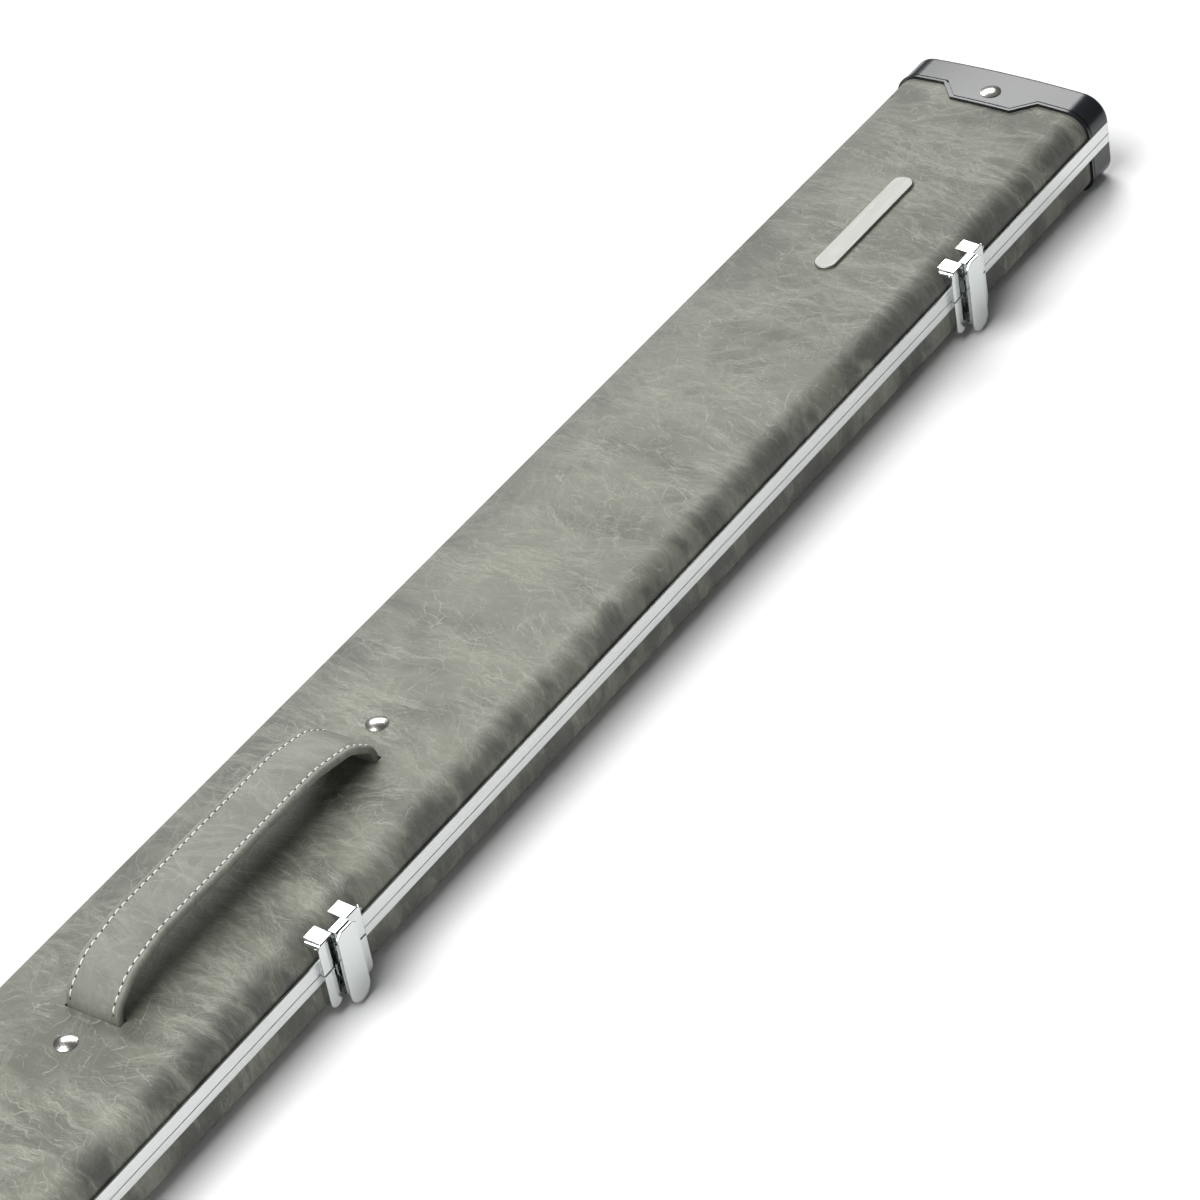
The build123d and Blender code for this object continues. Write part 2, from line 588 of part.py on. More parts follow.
# Base
base_holes = base_cap_holes + keeper_holes + base_hinge_holes
save("base_cover", drilled(cover(base_section, BASE_EDGE), base_holes))
base_inner = base_room(BOARD_IN)
base_flange_z = BASE_EDGE - TRIM_INNER_H
base_boards = boards(base_section, base_inner, HALF_W - BOARD_IN, BASE_EDGE, BASE_HIGH, base_flange_z)
save("base_floor_board", drilled(base_boards[0], base_cap_holes))
save("base_side_boards", [drilled(side, keeper_holes + base_hinge_holes) for side in base_boards[1]])
save("base_end_boards", base_boards[2])
save("base_lining", base_lining())
save("base_trim_front", drilled(trim(lid=False, back=False), keeper_holes))
save("base_trim_back", drilled(trim(lid=False, back=True), base_hinge_holes))
for side, word in ((-1, "left"), (1, "right")):
    cap = end_cap(side, base_section, BASE_HIGH, BASE_TRIM_LOW)
    save(f"base_end_cap_{word}", drilled(cap, base_cap_holes))

flush = Cylinder(RIVET_SHANK_R, 4.8)
save("base_cap_rivets", [Pos(x, 0, 2.5) * flush for x in (-CAP_RIVET_X, CAP_RIVET_X)])

# Bays
bay_y = [-HALF_W + LINING_IN, -HALF_W + LINING_IN + FRONT_BAY]
bay_y += [bay_y[-1] + DIVIDER_T, bay_y[-1] + DIVIDER_T + MIDDLE_BAY]
bay_y += [bay_y[-1] + DIVIDER_T, HALF_W - LINING_IN]
divider_x = (-INNER_END + LINING_T + 0.1, INNER_END - LINING_T - 0.1)
divider_z = (FLOOR_Z + 0.05, DIVIDER_TOP)
save("front_divider", box(divider_x, (bay_y[1], bay_y[2]), divider_z))
save("rear_divider", box(divider_x, (bay_y[3], bay_y[4]), divider_z))
partition_y = (bay_y[4] + 0.1, bay_y[5] - 0.1)
partition = box((CHALK_PARTITION_X, CHALK_PARTITION_X + DIVIDER_T), partition_y, divider_z)
save("chalk_partition", partition)
save("front_cue_rests", cue_rests(bay_y[0], bay_y[1]))
save("middle_cue_rests", cue_rests(bay_y[2], bay_y[3]))

# Latches
bracket, keeper, lever, spring = latch_bracket(), latch_keeper(), latch_lever(), latch_spring()
for x, word in zip(LATCH_X, LATCH_NAMES):
    spot = Pos(x, 0, 0)
    save(f"latch_bracket_{word}", drilled(spot * bracket, bracket_holes))
    save(f"latch_keeper_{word}", drilled(spot * keeper, keeper_holes))
    save(f"latch_lever_{word}", spot * lever)
    save(f"latch_pin_{word}", spot * latch_pin())
    save(f"latch_spring_{word}", drilled(spot * spring, keeper_holes))
save("latch_bracket_rivets", rivets(bracket_holes, 2.0, 0.8))
save("latch_keeper_rivets", rivets(keeper_holes, 2.0, 0.8))

# Hinges
for x, word in zip(HINGE_X, LATCH_NAMES):
    spot = Pos(x, 0, 0)
    save(f"hinge_lid_leaf_{word}", drilled(spot * hinge_leaf(lid=True), lid_hinge_holes))
    save(f"hinge_base_leaf_{word}", drilled(spot * hinge_leaf(lid=False), base_hinge_holes))
    save(f"hinge_pin_{word}", spot * hinge_barrel(HINGE_PIN_R, (-HINGE_HALF - 0.4, HINGE_HALF + 0.4)))
save("lid_hinge_rivets", rivets(lid_hinge_holes, 2.0, 0.8))
save("base_hinge_rivets", rivets(base_hinge_holes, 1.15, 0.6))
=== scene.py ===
import json
import math

import bmesh
import bpy
import numpy as np
from mathutils import Matrix, Vector


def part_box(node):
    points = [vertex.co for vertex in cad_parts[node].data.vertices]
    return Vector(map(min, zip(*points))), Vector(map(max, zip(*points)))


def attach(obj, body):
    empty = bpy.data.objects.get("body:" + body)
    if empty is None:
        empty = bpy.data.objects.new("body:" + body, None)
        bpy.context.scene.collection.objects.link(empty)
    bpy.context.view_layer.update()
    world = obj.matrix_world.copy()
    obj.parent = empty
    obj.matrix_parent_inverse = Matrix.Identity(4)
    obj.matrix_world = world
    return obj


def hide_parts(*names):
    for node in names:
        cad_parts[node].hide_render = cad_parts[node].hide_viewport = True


# A hard cue case: leatherette lid and base, aluminium trims, moulded end caps, chrome latches and a
# stitched strap handle. The CAD nodes keep their shapes and get materials. Two of them are replaced
# by padded pieces: the handle's strap, which gets its stitches too, and the foam pads in the lid.

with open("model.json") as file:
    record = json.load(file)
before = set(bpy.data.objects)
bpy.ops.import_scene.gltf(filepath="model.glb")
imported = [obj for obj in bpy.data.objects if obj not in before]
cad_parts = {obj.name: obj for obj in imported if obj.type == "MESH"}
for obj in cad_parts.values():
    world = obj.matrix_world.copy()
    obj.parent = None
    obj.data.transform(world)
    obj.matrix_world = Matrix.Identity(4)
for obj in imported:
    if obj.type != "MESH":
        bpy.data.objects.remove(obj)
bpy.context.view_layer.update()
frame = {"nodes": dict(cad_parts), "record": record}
NODES = frame["nodes"]
MM = 0.001

# Camera: a long lens, above and to one side of the case, rolled a little
CAMERA_AT = Vector((-0.9300, -1.0233, 1.2412))
CAMERA_AIM = Vector((0.2089, -0.0395, 0.0442))
CAMERA_ROLL = math.radians(-10.63)
CAMERA_LENS = 136.35
CAMERA_SENSOR = 36.0
CAMERA_CLIP = (0.05, 100.0)


# ---------------------------------------------------------------- node helpers


class Nodes:
    """A short way to write a material's nodes."""

    def __init__(self, name):
        self.material = bpy.data.materials.new(name)
        self.material.use_nodes = True
        self.tree = self.material.node_tree
        self.tree.nodes.clear()
        self.shader = self.tree.nodes.new("ShaderNodeBsdfPrincipled")
        output = self.tree.nodes.new("ShaderNodeOutputMaterial")
        self.link(self.shader.outputs["BSDF"], output.inputs["Surface"])

    def link(self, source, target):
        self.tree.links.new(source, target)

    def give(self, socket, value):
        if isinstance(value, bpy.types.NodeSocket):
            self.link(value, socket)
        elif value is not None:
            socket.default_value = value

    def node(self, kind, inputs=(), **settings):
        made = self.tree.nodes.new(kind)
        for key, value in settings.items():
            setattr(made, key, value)
        for key, value in dict(inputs).items():
            self.give(made.inputs[key], value)
        return made

    def place(self, scale=(1, 1, 1), shift=(0, 0, 0)):
        """The frame's coordinates in metres, stretched and shifted."""
        where = self.node("ShaderNodeTexCoord").outputs["Object"]
        inputs = {"Vector": where, "Scale": scale, "Location": shift}
        return self.node("ShaderNodeMapping", inputs).outputs["Vector"]

    def noise(self, where, scale, detail=4.0, rough=0.5, distortion=0.0):
        inputs = {"Vector": where, "Scale": scale, "Detail": detail, "Roughness": rough}
        inputs["Distortion"] = distortion
        return self.node("ShaderNodeTexNoise", inputs)

    def edges(self, where, scale):
        """Distance to the nearest cell wall: 0 on a wall."""
        inputs = {"Vector": where, "Scale": scale}
        made = self.node("ShaderNodeTexVoronoi", inputs, feature="DISTANCE_TO_EDGE")
        return made.outputs["Distance"]

    def math(self, operation, a, b=None):
        made = self.node("ShaderNodeMath", operation=operation)
        self.give(made.inputs[0], a)
        self.give(made.inputs[1], b)
        return made.outputs[0]

    def times(self, a, b):
        return self.math("MULTIPLY", a, b)

    def vector(self, operation, inputs):
        return self.node("ShaderNodeVectorMath", inputs, operation=operation).outputs[0]

    def band(self, value, low, high, out_low=0.0, out_high=1.0):
        """A smooth step from low to high."""
        inputs = {"Value": value, "From Min": low, "From Max": high}
        inputs.update({"To Min": out_low, "To Max": out_high})
        made = self.node("ShaderNodeMapRange", inputs, interpolation_type="SMOOTHSTEP")
        return made.outputs["Result"]

    def warp(self, where, scale, amount):
        """Coordinates pushed about by a noise."""
        noise = self.noise(where, scale, 3.0, 0.55).outputs["Color"]
        centred = self.vector("SUBTRACT", {0: noise, 1: (0.5, 0.5, 0.5)})
        push = self.vector("SCALE", {0: centred, "Scale": amount})
        return self.vector("ADD", {0: where, 1: push})

    def drawn(self, where, angle, size, shift=(0, 0, 0)):
        """Coordinates drawn out at an angle from +X: one unit is size metres, along and across."""
        along, across = size
        inputs = {"Vector": where, "Location": shift, "Scale": (along, across, along)}
        inputs["Rotation"] = (0.0, 0.0, math.radians(angle))
        return self.node("ShaderNodeMapping", inputs, vector_type="TEXTURE").outputs["Vector"]

    def mix(self, factor, a, b):
        made = self.node("ShaderNodeMix", data_type="RGBA")
        self.give(made.inputs["Factor"], factor)
        self.give(made.inputs["A"], a)
        self.give(made.inputs["B"], b)
        return made.outputs["Result"]

    def bump(self, height, distance, strength):
        inputs = {"Height": height, "Distance": distance, "Strength": strength}
        return self.node("ShaderNodeBump", inputs).outputs["Normal"]

    def set(self, **values):
        """Sets the shader's sockets, with underscores for spaces."""
        for key, value in values.items():
            self.give(self.shader.inputs[key.replace("_", " ")], value)
        return self.material


# ---------------------------------------------------------------- materials

CASE_DARK = (0.100, 0.104, 0.082, 1)
CASE_MIDDLE = (0.154, 0.158, 0.126, 1)
CASE_LIGHT = (0.240, 0.246, 0.200, 1)
STRAP_DARK = (0.142, 0.145, 0.123, 1)
STRAP_MIDDLE = (0.180, 0.183, 0.157, 1)
PALE_LINE = (0.31, 0.318, 0.272, 1)
# Colour of the painted shade along the case's front corner and back edge
EDGE_SHADE_COLOUR = (0.070, 0.071, 0.066, 1)

# The ways the sheet was pulled: degrees from the case's length, and how strongly each shows
PULL_WAYS = ((92, 1.0), (78, 1.0), (107, 0.9), (60, 0.7), (126, 0.7), (20, 0.5))
# Sizes of the sheet's marks in metres, along and across the way that they are drawn out
CLOUD_SIZE = (0.034, 0.020)
PATCH_SIZE = (0.060, 0.032)
STREAK_SIZE = (0.030, 0.0046)
LINE_SIZE = (0.009, 0.0007)
CRINKLE_SIZE = (0.0015, 0.0008)
FOLD_SIZE = (0.030, 0.015)
# Two sizes of vein: the cells' size in metres, and the half width of their walls in cells
VEIN_CELLS = ((0.024, 0.012), (0.011, 0.023))
# Where the sheet gets painted shade, by Y: the front's shade fades out from the first value to
# the second, and the back's sets in from the first to the second
FRONT_SHADE_Y = (-0.048, -0.037)
BACK_SHADE_Y = (0.018, 0.046)


def streaks(n, where, angle, index, gain):
    """One way the sheet was pulled: soft pale streaks, and crisp fine lines along them."""
    shift = (0.37 * index, 0.61 * index, 0.23 * index)
    patch = n.noise(n.drawn(where, angle, PATCH_SIZE, shift), 1.0, 2.0, 0.5).outputs["Fac"]
    patch = n.times(n.band(patch, 0.46, 0.60), gain)
    wide = n.noise(n.drawn(where, angle, STREAK_SIZE, shift), 1.0, 4.0, 0.62).outputs["Fac"]
    wide = n.times(n.band(wide, 0.50, 0.62), patch)
    fine = n.noise(n.drawn(where, angle, LINE_SIZE, shift), 1.0, 2.0, 0.6, 0.4).outputs["Fac"]
    ridge = n.band(n.math("ABSOLUTE", n.math("SUBTRACT", fine, 0.5)), 0.0, 0.055, 1.0, 0.0)
    near = n.math("ADD", n.times(wide, 0.7), n.times(patch, 0.4))
    return wide, n.times(ridge, near)


def crinkles(n, where):
    """Patches of very fine pebbling, where the sheet was folded hardest."""
    bent = n.warp(where, 500.0, 0.0016)
    walls = n.band(n.edges(n.drawn(bent, 100, CRINKLE_SIZE), 1.0), 0.0, 0.26, 1.0, 0.0)
    broken = n.band(n.noise(where, 620.0, 2.0, 0.5).outputs["Fac"], 0.42, 0.60)
    folds = n.drawn(where, 95, FOLD_SIZE, (0.4, 0.2, 0.1))
    patch = n.band(n.noise(folds, 1.0, 3.0, 0.6).outputs["Fac"], 0.50, 0.66)
    return n.times(n.times(walls, broken), patch)


def veins(n, where):
    """Single long curved lines: the walls of warped, drawn-out cells, broken up."""
    walls = None
    for size, half_width in VEIN_CELLS:
        bent = n.warp(n.warp(where, 0.9 / size, 0.7 * size), 3.0 / size, 0.10 * size)
        distance = n.edges(n.drawn(bent, 78, (size * 1.5, size * 0.8)), 1.0)
        broken = n.band(n.noise(where, 1.5 / size, 3.0, 0.65).outputs["Fac"], 0.44, 0.56)
        wall = n.times(n.band(distance, 0.0, half_width, 1.0, 0.0), broken)
        walls = wall if walls is None else n.math("MAXIMUM", walls, wall)
    return walls


def leatherette(name, dark, middle, light, shift=(0, 0, 0), crease=1.0, edge_shade_amount=0.0):
    """Pull-up leatherette: darker patches between pale streaks that mostly run across the case."""
    n = Nodes(name)
    where = n.place(shift=shift)
    bent = n.warp(n.warp(where, 34.0, 0.012), 110.0, 0.0030)

    clouds = n.noise(n.drawn(bent, 90, CLOUD_SIZE), 1.0, 4.0, 0.55).outputs["Fac"]
    broad = n.noise(where, 9.0, 3.0, 0.5).outputs["Fac"]
    tone = n.math("ADD", n.times(clouds, 0.6), n.times(broad, 0.4))
    colour = n.mix(n.band(tone, 0.43, 0.56), dark, middle)

    pale, lines = None, n.times(crinkles(n, where), 0.5)
    lines = n.math("MAXIMUM", lines, n.times(veins(n, where), 0.7))
    for index, (angle, gain) in enumerate(PULL_WAYS):
        wide, ridge = streaks(n, bent, angle, index, gain)
        pale = wide if pale is None else n.math("MAXIMUM", pale, wide)
        lines = n.math("MAXIMUM", lines, ridge)
    colour = n.mix(n.times(pale, 0.52), colour, light)
    colour = n.mix(n.times(lines, 0.95 * crease), colour, PALE_LINE)
    # Painted shade: the front corner and the back edge darkened in the colour
    if edge_shade_amount:
        colour = n.mix(painted_edge_shade(n, where, clouds, edge_shade_amount), colour, EDGE_SHADE_COLOUR)

    grain = n.noise(where, 2600.0, 2.0, 0.6).outputs["Fac"]
    rough = n.math("ADD", n.times(grain, 0.10), n.times(clouds, 0.12))
    height = n.math("SUBTRACT", n.times(grain, 0.22), n.times(lines, 0.9 * crease))
    return n.set(
        Base_Color=colour,
        Roughness=n.math("ADD", rough, 0.46),
        Specular_IOR_Level=0.35,
        Normal=n.bump(height, 0.00018, 0.5),
    )


def painted_edge_shade(n, where, clouds, amount):
    """Painted shade: dark blotches along the front corner, and a darkening along the back."""
    parts = n.node("ShaderNodeSeparateXYZ", {"Vector": where})
    front = n.band(parts.outputs["Y"], *FRONT_SHADE_Y, 1.0, 0.0)
    blotch = n.band(clouds, 0.58, 0.44, 0.1, 1.0)
    back = n.band(parts.outputs["Y"], *BACK_SHADE_Y)
    return n.math("MAXIMUM", n.times(front, n.times(blotch, amount)), n.times(back, amount * 0.45))


def trim_metal():
    """Bright rolled aluminium: long fine draw lines along the profile."""
    n = Nodes("bright_aluminium")
    where = n.place(scale=(1.0, 260.0, 260.0))
    lines = n.noise(where, 6.0, 4.0, 0.6).outputs["Fac"]
    colour = n.mix(lines, (0.57, 0.585, 0.58, 1), (0.66, 0.675, 0.67, 1))
    rough = n.band(lines, 0.2, 0.8, 0.24, 0.34)
    normal = n.bump(lines, 0.00001, 0.3)
    return n.set(Base_Color=colour, Metallic=1.0, Roughness=rough, Normal=normal)


def chrome(name, tint, rough):
    """Polished plate: faint smears, and a surface that isn't quite flat."""
    n = Nodes(name)
    where = n.place()
    smear = n.noise(where, 90.0, 3.0, 0.6).outputs["Fac"]
    wave = n.noise(where, 160.0, 2.0, 0.5).outputs["Fac"]
    return n.set(
        Base_Color=tint,
        Metallic=1.0,
        Roughness=n.band(smear, 0.3, 0.7, rough, rough + 0.06),
        Normal=n.bump(wave, 0.0001, 0.12),
    )


def moulded(name, dark, light, rough=0.21):
    """Moulded plastic with a very fine spark-eroded grain."""
    n = Nodes(name)
    where = n.place()
    grain = n.noise(where, 1800.0, 3.0, 0.6).outputs["Fac"]
    cloud = n.noise(where, 40.0, 2.0, 0.5).outputs["Fac"]
    return n.set(
        Base_Color=n.mix(cloud, dark, light),
        Roughness=n.band(grain, 0.2, 0.8, rough, rough + 0.05),
        Specular_IOR_Level=0.44,
        Normal=n.bump(grain, 0.00003, 0.12),
    )


def velour():
    """Short black pile, brushed different ways."""
    n = Nodes("velour")
    where = n.place()
    pile = n.noise(where, 1500.0, 3.0, 0.7).outputs["Fac"]
    brushed = n.noise(n.warp(where, 8.0, 0.05), 14.0, 3.0, 0.5).outputs["Fac"]
    nap = n.band(brushed, 0.35, 0.65)
    return n.set(
        Base_Color=n.mix(nap, (0.010, 0.010, 0.012, 1), (0.022, 0.022, 0.026, 1)),
        Roughness=0.9,
        Specular_IOR_Level=0.2,
        Sheen_Weight=0.35,
        Sheen_Roughness=0.4,
        Normal=n.bump(pile, 0.0004, 0.6),
    )


def foam():
    """Black foam: open pores under a fine flock."""
    n = Nodes("flocked_foam")
    where = n.place()
    pores = n.band(n.edges(where, 900.0), 0.0, 0.2)
    flock = n.noise(where, 2200.0, 2.0, 0.7).outputs["Fac"]
    return n.set(
        Base_Color=n.mix(pores, (0.012, 0.012, 0.013, 1), (0.03, 0.03, 0.032, 1)),
        Roughness=0.95,
        Specular_IOR_Level=0.15,
        Normal=n.bump(flock, 0.0003, 0.6),
    )


def board():
    """Bare board: long grain and small pores."""
    n = Nodes("board")
    grain = n.noise(n.place(scale=(2.0, 60.0, 60.0)), 12.0, 5.0, 0.6).outputs["Fac"]
    pores = n.noise(n.place(scale=(30.0, 600.0, 600.0)), 8.0, 2.0, 0.6).outputs["Fac"]
    colour = n.mix(n.band(grain, 0.3, 0.7), (0.23, 0.15, 0.085, 1), (0.36, 0.25, 0.15, 1))
    return n.set(Base_Color=colour, Roughness=0.7, Normal=n.bump(pores, 0.0001, 0.4))


def brushed(name, low, high, rough):
    """Satin or plain metal with fine lines along the case."""
    n = Nodes(name)
    lines = n.noise(n.place(scale=(3.0, 120.0, 40.0)), 25.0, 4.0, 0.7).outputs["Fac"]
    return n.set(
        Base_Color=n.mix(lines, low, high),
        Metallic=1.0,
        Roughness=n.band(lines, 0.2, 0.8, rough, rough + 0.14),
        Normal=n.bump(lines, 0.00004, 0.4),
    )


def thread():
    """Off-white twisted thread."""
    n = Nodes("white_thread")
    twist = n.noise(n.place(), 2400.0, 2.0, 0.5).outputs["Fac"]
    return n.set(
        Base_Color=n.mix(twist, (0.62, 0.61, 0.57, 1), (0.80, 0.79, 0.75, 1)),
        Roughness=0.75,
        Sheen_Weight=0.2,
        Normal=n.bump(twist, 0.0001, 0.5),
    )


MATERIALS = {
    # The case's sheet carries painted shade along its front corner and back edge
    "grey_leatherette": leatherette(
        "case_leatherette", CASE_DARK, CASE_MIDDLE, CASE_LIGHT, edge_shade_amount=0.65
    ),
    "board": board(),
    "velour": velour(),
    "foam": foam(),
    "aluminium_trim": trim_metal(),
    "black_plastic": moulded("black_moulding", (0.009, 0.011, 0.013, 1), (0.015, 0.017, 0.020, 1)),
    "chrome": chrome("latch_chrome", (0.58, 0.605, 0.595, 1), 0.12),
    "rivet_nickel": chrome("rivet_nickel", (0.64, 0.62, 0.58, 1), 0.20),
    "satin_metal": brushed("satin_badge", (0.25, 0.25, 0.235, 1), (0.33, 0.33, 0.315, 1), 0.48),
    "steel": brushed("plated_steel", (0.52, 0.53, 0.53, 1), (0.66, 0.67, 0.67, 1), 0.22),
    "handle_leather": leatherette(
        "strap_leatherette", STRAP_DARK, STRAP_MIDDLE, CASE_LIGHT, (0.3, 0.2, 0.1), crease=0.7
    ),
}
THREAD = thread()
# Near-black for the stitch holes: painted shade
HOLE_SHADE = moulded("stitch_hole_shade", (0.018, 0.018, 0.016, 1), (0.026, 0.026, 0.022, 1), 0.7)


def paint_cad():
    """Gives every CAD node its material."""
    slots = {row["node"]: row["material_slot"] for row in frame["record"]["subparts"]}
    for name, item in NODES.items():
        material = MATERIALS[slots[name]]
        if not item.data.materials:
            item.data.materials.append(material)
        for index in range(len(item.material_slots)):
            item.material_slots[index].material = material


# ---------------------------------------------------------------- mesh helpers


def mesh_object(name, build, material, smooth=True):
    """A new object from a function that fills a bmesh."""
    bm = bmesh.new()
    build(bm)
    bmesh.ops.recalc_face_normals(bm, faces=bm.faces)
    data = bpy.data.meshes.new(name)
    bm.to_mesh(data)
    bm.free()
    for face in data.polygons:
        face.use_smooth = smooth
    data.materials.append(material)
    made = bpy.data.objects.new(name, data)
    bpy.context.scene.collection.objects.link(made)
    return made


def loft(bm, rings):
    """Joins rings of points, each a closed loop of the same length, and closes both ends."""
    made = [[bm.verts.new(p) for p in ring] for ring in rings]
    count = len(made[0])
    for a, b in zip(made, made[1:]):
        for i in range(count):
            j = (i + 1) % count
            bm.faces.new((a[i], a[j], b[j], b[i]))
    bm.faces.new(made[0][::-1])
    bm.faces.new(made[-1])


def round_off(made):
    """Smooths a piece with one level of subdivision."""
    sub = made.modifiers.new("round", "SUBSURF")
    sub.levels = sub.render_levels = 1


def even_path(points, steps):
    """The same route, sampled evenly by length."""
    line = np.array(points)
    lengths = np.r_[0, np.cumsum(np.linalg.norm(np.diff(line, axis=0), axis=1))]
    at = np.linspace(0, lengths[-1], steps)
    return np.stack([np.interp(at, lengths, line[:, k]) for k in range(3)], 1), lengths[-1]


# ---------------------------------------------------------------- handle

STRAP_LOW, STRAP_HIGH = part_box("handle_strap")
STRAP_Y = (STRAP_LOW.y + STRAP_HIGH.y) / 2
STRAP_HALF_W = (STRAP_HIGH.y - STRAP_LOW.y) / 2
STRAP_HALF_T = 2.1 * MM
STRAP_STEPS = 150
LID_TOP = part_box("lid_cover")[1].z
# The strap's middle line: how far it lies in from the outer face, then its bends from the grip down
MIDDLE_IN = 2.2 * MM
GRIP_END_X = 50 * MM
SHOULDER_X = 72 * MM
SHOULDER_DROP = 4.4 * MM
FOOT_DROP = 13.9 * MM
FOOT_SINK = 3 * MM
BEND_R = (30 * MM, 18 * MM, 9 * MM)
BEND_STEPS = 8

STITCH_IN = 3.0 * MM
STITCH_START = 6.5 * MM
STITCH_PITCH = 4.1 * MM
STITCH_LENGTH = 3.1 * MM
STITCH_R = 0.36 * MM
STITCH_SPREAD = 1.15
STITCH_DIP = 1.21 * STITCH_R
STITCH_SIDES = 8
HOLE_R = 0.62 * MM
HOLE_SHAPE = (1.0, 0.85, 0.35, 1.0)
# Heights above the strap's middle line, as shares of its half thickness
STITCH_HEIGHT = 0.80
HOLE_HEIGHT = 0.70


def handle_route():
    """The strap's middle line, from its -X foot to its +X foot."""
    top = STRAP_HIGH.z - MIDDLE_IN
    foot_x = STRAP_HIGH.x - MIDDLE_IN
    corners = [
        (0.0, top),
        (GRIP_END_X, top),
        (SHOULDER_X, top - SHOULDER_DROP),
        (foot_x, top - FOOT_DROP),
        (foot_x, LID_TOP - FOOT_SINK),
    ]
    half = rounded_route(corners, BEND_R)
    return [(-x, STRAP_Y, z) for x, z in half[:0:-1]] + [(x, STRAP_Y, z) for x, z in half]


def rounded_route(corners, radii):
    """A route in XZ through corners, each inner one rounded by an arc."""
    points = [Vector(corners[0])]
    for before, corner, after, radius in zip(corners, corners[1:], corners[2:], radii):
        corner = Vector(corner)
        back = (Vector(before) - corner).normalized()
        ahead = (Vector(after) - corner).normalized()
        half_angle = back.angle(ahead) / 2
        reach = radius / math.tan(half_angle)
        centre = corner + (back + ahead).normalized() * (radius / math.sin(half_angle))
        start, end = corner + back * reach - centre, corner + ahead * reach - centre
        sweep = start.angle_signed(end)
        for step in range(BEND_STEPS + 1):
            points.append(centre + start @ Matrix.Rotation(sweep * step / BEND_STEPS, 2))
    return [tuple(p) for p in points] + [corners[-1]]


def strap_section():
    """The strap's outline: rolled edges, sunk stitch lines and a crowned middle."""
    w, t = STRAP_HALF_W, STRAP_HALF_T
    line = w - STITCH_IN
    top = [
        (0.0, 1.00 * t),
        (0.35 * w, 0.99 * t),
        (0.60 * w, 0.94 * t),
        (line - 0.9 * MM, 0.84 * t),
        (line, 0.66 * t),
        (line + 0.9 * MM, 0.86 * t),
        (w - 1.1 * MM, 0.86 * t),
        (w - 0.45 * MM, 0.62 * t),
        (w - 0.08 * MM, 0.25 * t),
    ]
    low = [
        (w, -0.15 * t),
        (w - 0.35 * MM, -0.62 * t),
        (w - 1.1 * MM, -0.92 * t),
        (0.75 * w, -1.0 * t),
        (0.4 * w, -1.0 * t),
    ]
    right = top + low
    left = [(-u, v) for u, v in reversed(right) if u > 0]
    return right + [(0.0, -1.0 * t)] + left


def strap_course():
    """The strap's middle line with its forward and up directions, step by step, and its length."""
    path, length = even_path(handle_route(), STRAP_STEPS)
    ahead = np.gradient(path, axis=0)
    ahead /= np.linalg.norm(ahead, axis=1)[:, None]
    up = np.cross(ahead, np.array([0.0, 1.0, 0.0]))
    return (path, ahead, up), length


def build_handle():
    """The padded strap, its two lines of stitches, and dark dimples of painted shade for the holes
    that they pass through.
    """
    course, length = strap_course()
    path, _, up = course
    section = strap_section()

    def strap(bm):
        rings = []
        for point, rise in zip(path, up):
            rings.append([point + np.array([0, u, 0]) + rise * v for u, v in section])
        loft(bm, rings)

    made = mesh_object("padded_strap", strap, MATERIALS["handle_leather"])
    round_off(made)
    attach(made, "lid")
    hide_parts("handle_strap")

    steps = np.linspace(0, 1, STRAP_STEPS)
    count = int((length - 2 * STITCH_START) / STITCH_PITCH)

    def on_line(along, side, height):
        """A point on a stitch line, and the strap's forward and up directions there."""
        middle, forward, rise = (
            np.array([np.interp(along / length, steps, rows[:, i]) for i in range(3)])
            for rows in course
        )
        across = np.array([0, side * (STRAP_HALF_W - STITCH_IN), 0])
        return middle + across + rise * (height * STRAP_HALF_T), forward, rise

    def stitches(bm):
        for side in (-1, 1):
            for k in range(count):
                along = STITCH_START + (k + 0.5) * STITCH_PITCH
                one_stitch(bm, *on_line(along, side, STITCH_HEIGHT))

    # Dark dimples of painted shade where the holes are
    def holes(bm):
        for side in (-1, 1):
            for k in range(count + 1):
                along = STITCH_START + k * STITCH_PITCH
                one_hole_shade(bm, *on_line(along, side, HOLE_HEIGHT))

    seams = (("handle_stitching", stitches, THREAD), ("handle_stitch_hole_shades", holes, HOLE_SHADE))
    for name, build, material in seams:
        made = mesh_object(name, build, material)
        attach(made, "lid")


def one_stitch(bm, centre, forward, rise):
    """A short thread that dives into the strap at both ends."""
    across = np.cross(forward, rise)
    rings = []
    for t in (-1.0, -0.82, -0.45, 0.0, 0.45, 0.82, 1.0):
        width = STITCH_R * math.sqrt(max(0.12, 1 - t**4))
        at = centre + forward * (t * STITCH_LENGTH / 2) - rise * (STITCH_DIP * t * t)
        ring = []
        for k in range(STITCH_SIDES):
            a = 2 * math.pi * k / STITCH_SIDES
            sideways = across * (width * STITCH_SPREAD * math.cos(a))
            ring.append(at + sideways + rise * (width * math.sin(a)))
        rings.append(ring)
    loft(bm, rings)


def one_hole_shade(bm, centre, forward, rise):
    """A dark dimple of painted shade where the thread goes in, standing for the hole's shadow."""
    turn = Matrix((forward, (0, 1, 0), rise)).transposed().to_4x4()
    place = Matrix.Translation(Vector(centre)) @ turn @ Matrix.Diagonal(HOLE_SHAPE)
    bmesh.ops.create_uvsphere(bm, u_segments=8, v_segments=5, radius=HOLE_R, matrix=place)


# ---------------------------------------------------------------- pads in the lid

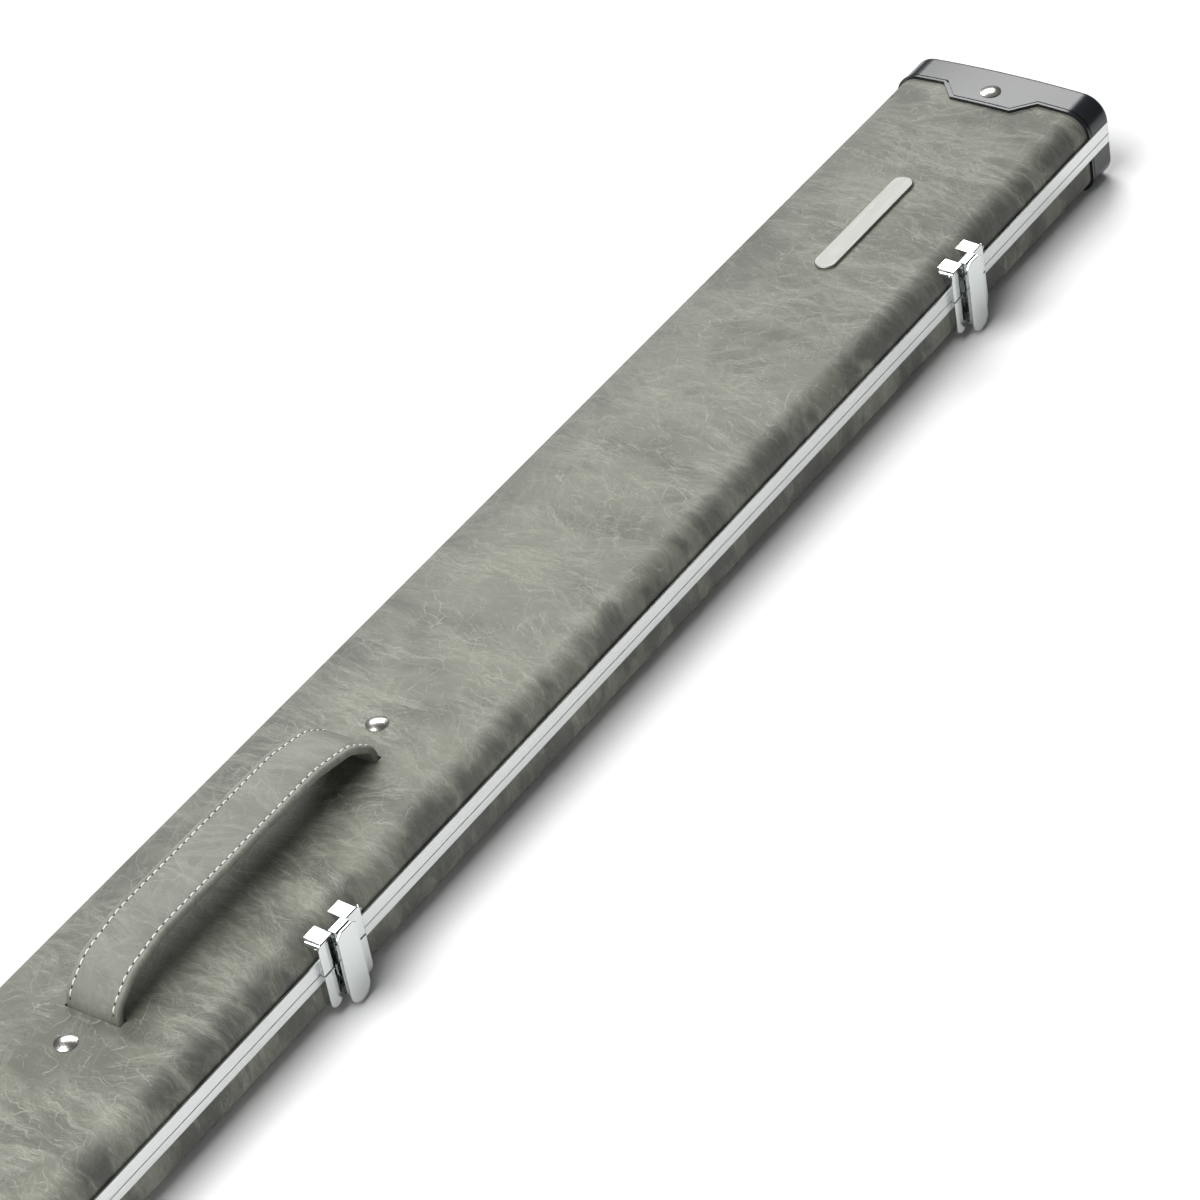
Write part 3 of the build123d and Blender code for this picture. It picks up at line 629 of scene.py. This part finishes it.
PADS_LOW, PADS_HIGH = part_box("lid_pads")
PAD_HALF_L = 20 * MM
PAD_CORNER_R = 5 * MM
PAD_CORNER_MIN = 2 * MM
PAD_CORNER_STEPS = 6
PAD_PULL = 0.7 * MM
INNER_PAD_X = 200 * MM
PAD_MIDDLE_X = (PADS_LOW.x + PAD_HALF_L, -INNER_PAD_X, INNER_PAD_X, PADS_HIGH.x - PAD_HALF_L)
# Distance in from the pad's edge in mm, and height from its face (0) to the lid (1)
PAD_RINGS = (
    (4.0, 0.72),
    (1.2, 0.66),
    (0.3, 0.56),
    (0.1, 0.44),
    (0.6, 0.32),
    (2.0, 0.20),
    (5.0, 0.09),
    (10.0, 0.03),
    (16.0, 0.005),
)


def pad_ring(middle_x, inset, height):
    """A rounded rectangle whose long sides pull in a little between the corners."""
    middle_y = (PADS_LOW.y + PADS_HIGH.y) / 2
    half_y = (PADS_HIGH.y - PADS_LOW.y) / 2
    z = PADS_LOW.z + (PADS_HIGH.z - PADS_LOW.z) * height
    corner = max(PAD_CORNER_R - inset * 0.3, PAD_CORNER_MIN)
    points = []
    for quarter, (side_x, side_y) in enumerate(((1, 1), (-1, 1), (-1, -1), (1, -1))):
        for step in range(PAD_CORNER_STEPS + 1):
            turn = math.radians(90 * quarter + 90 / PAD_CORNER_STEPS * step)
            x = side_x * (PAD_HALF_L - inset - corner) + corner * math.cos(turn)
            y = side_y * (half_y - inset - corner) + corner * math.sin(turn)
            pull = PAD_PULL * (1 - (y / half_y) ** 2)
            points.append((middle_x + x - math.copysign(pull, x), middle_y + y, z))
    return points


def build_pads():
    """The foam pads in the lid, with crowned faces and soft edges."""

    def pads(bm):
        for middle_x in PAD_MIDDLE_X:
            loft(bm, [pad_ring(middle_x, inset * MM, height) for inset, height in PAD_RINGS])

    made = mesh_object("padded_lid_pads", pads, MATERIALS["foam"])
    round_off(made)
    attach(made, "lid")
    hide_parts("lid_pads")


# ---------------------------------------------------------------- light, floor, camera

# Each lamp's place, what it points at, its size in metres and its power in watts
LAMPS = {
    "key": ((-1.15, 0.52, 2.4), (0.0, 0.0, 0.0), (2.1, 2.0), 102),
    "sheen": ((2.1, 1.7, 2.0), (0.1, 0.0, 0.0), (2.2, 1.4), 76),
    "fill": ((-0.85, -0.95, 0.6), (-0.3, 0.0, 0.0), (0.7, 0.7), 2.1),
}
WORLD_COLOUR = (0.96, 0.98, 1, 1)
WORLD_STRENGTH = 0.10
FLOOR_COLOUR = (0.9, 0.9, 0.9, 1)
FLOOR_HALF = 12.0


def aimed(place, aim):
    """The matrix of something at a place, pointing at an aim."""
    turn = (aim - place).to_track_quat("-Z", "Y").to_matrix().to_4x4()
    return Matrix.Translation(place) @ turn


def set_camera():
    data = bpy.data.cameras.new("camera")
    data.lens = CAMERA_LENS
    data.sensor_width = CAMERA_SENSOR
    data.clip_start, data.clip_end = CAMERA_CLIP
    camera = bpy.data.objects.new("camera", data)
    bpy.context.scene.collection.objects.link(camera)
    roll = Matrix.Rotation(CAMERA_ROLL, 4, "Z")
    camera.matrix_world = aimed(CAMERA_AT, CAMERA_AIM) @ roll
    bpy.context.scene.camera = camera


def area_light(name, place, aim, size, power):
    data = bpy.data.lights.new(name, "AREA")
    data.shape = "RECTANGLE"
    data.size, data.size_y = size
    data.energy = power
    lamp = bpy.data.objects.new(name, data)
    bpy.context.scene.collection.objects.link(lamp)
    lamp.matrix_world = aimed(Vector(place), Vector(aim))


def build_studio():
    """A plain floor, soft lamps and a weak even light from everywhere."""
    world = bpy.data.worlds.new("studio")
    bpy.context.scene.world = world
    world.use_nodes = True
    background = world.node_tree.nodes["Background"]
    background.inputs["Color"].default_value = WORLD_COLOUR
    background.inputs["Strength"].default_value = WORLD_STRENGTH

    floor = mesh_object("floor", floor_mesh, floor_material(), smooth=False)
    for name, lamp in LAMPS.items():
        area_light(name, *lamp)
    bpy.context.scene.view_settings.view_transform = "Standard"
    bpy.context.scene.view_settings.look = "None"


def floor_mesh(bm):
    corners = ((-1, -1), (1, -1), (1, 1), (-1, 1))
    bm.faces.new([bm.verts.new((x * FLOOR_HALF, y * FLOOR_HALF, 0)) for x, y in corners])


def floor_material():
    n = Nodes("floor_paper")
    return n.set(Base_Color=FLOOR_COLOUR, Roughness=0.9, Specular_IOR_Level=0.1)


paint_cad()
build_handle()
build_pads()
set_camera()
build_studio()
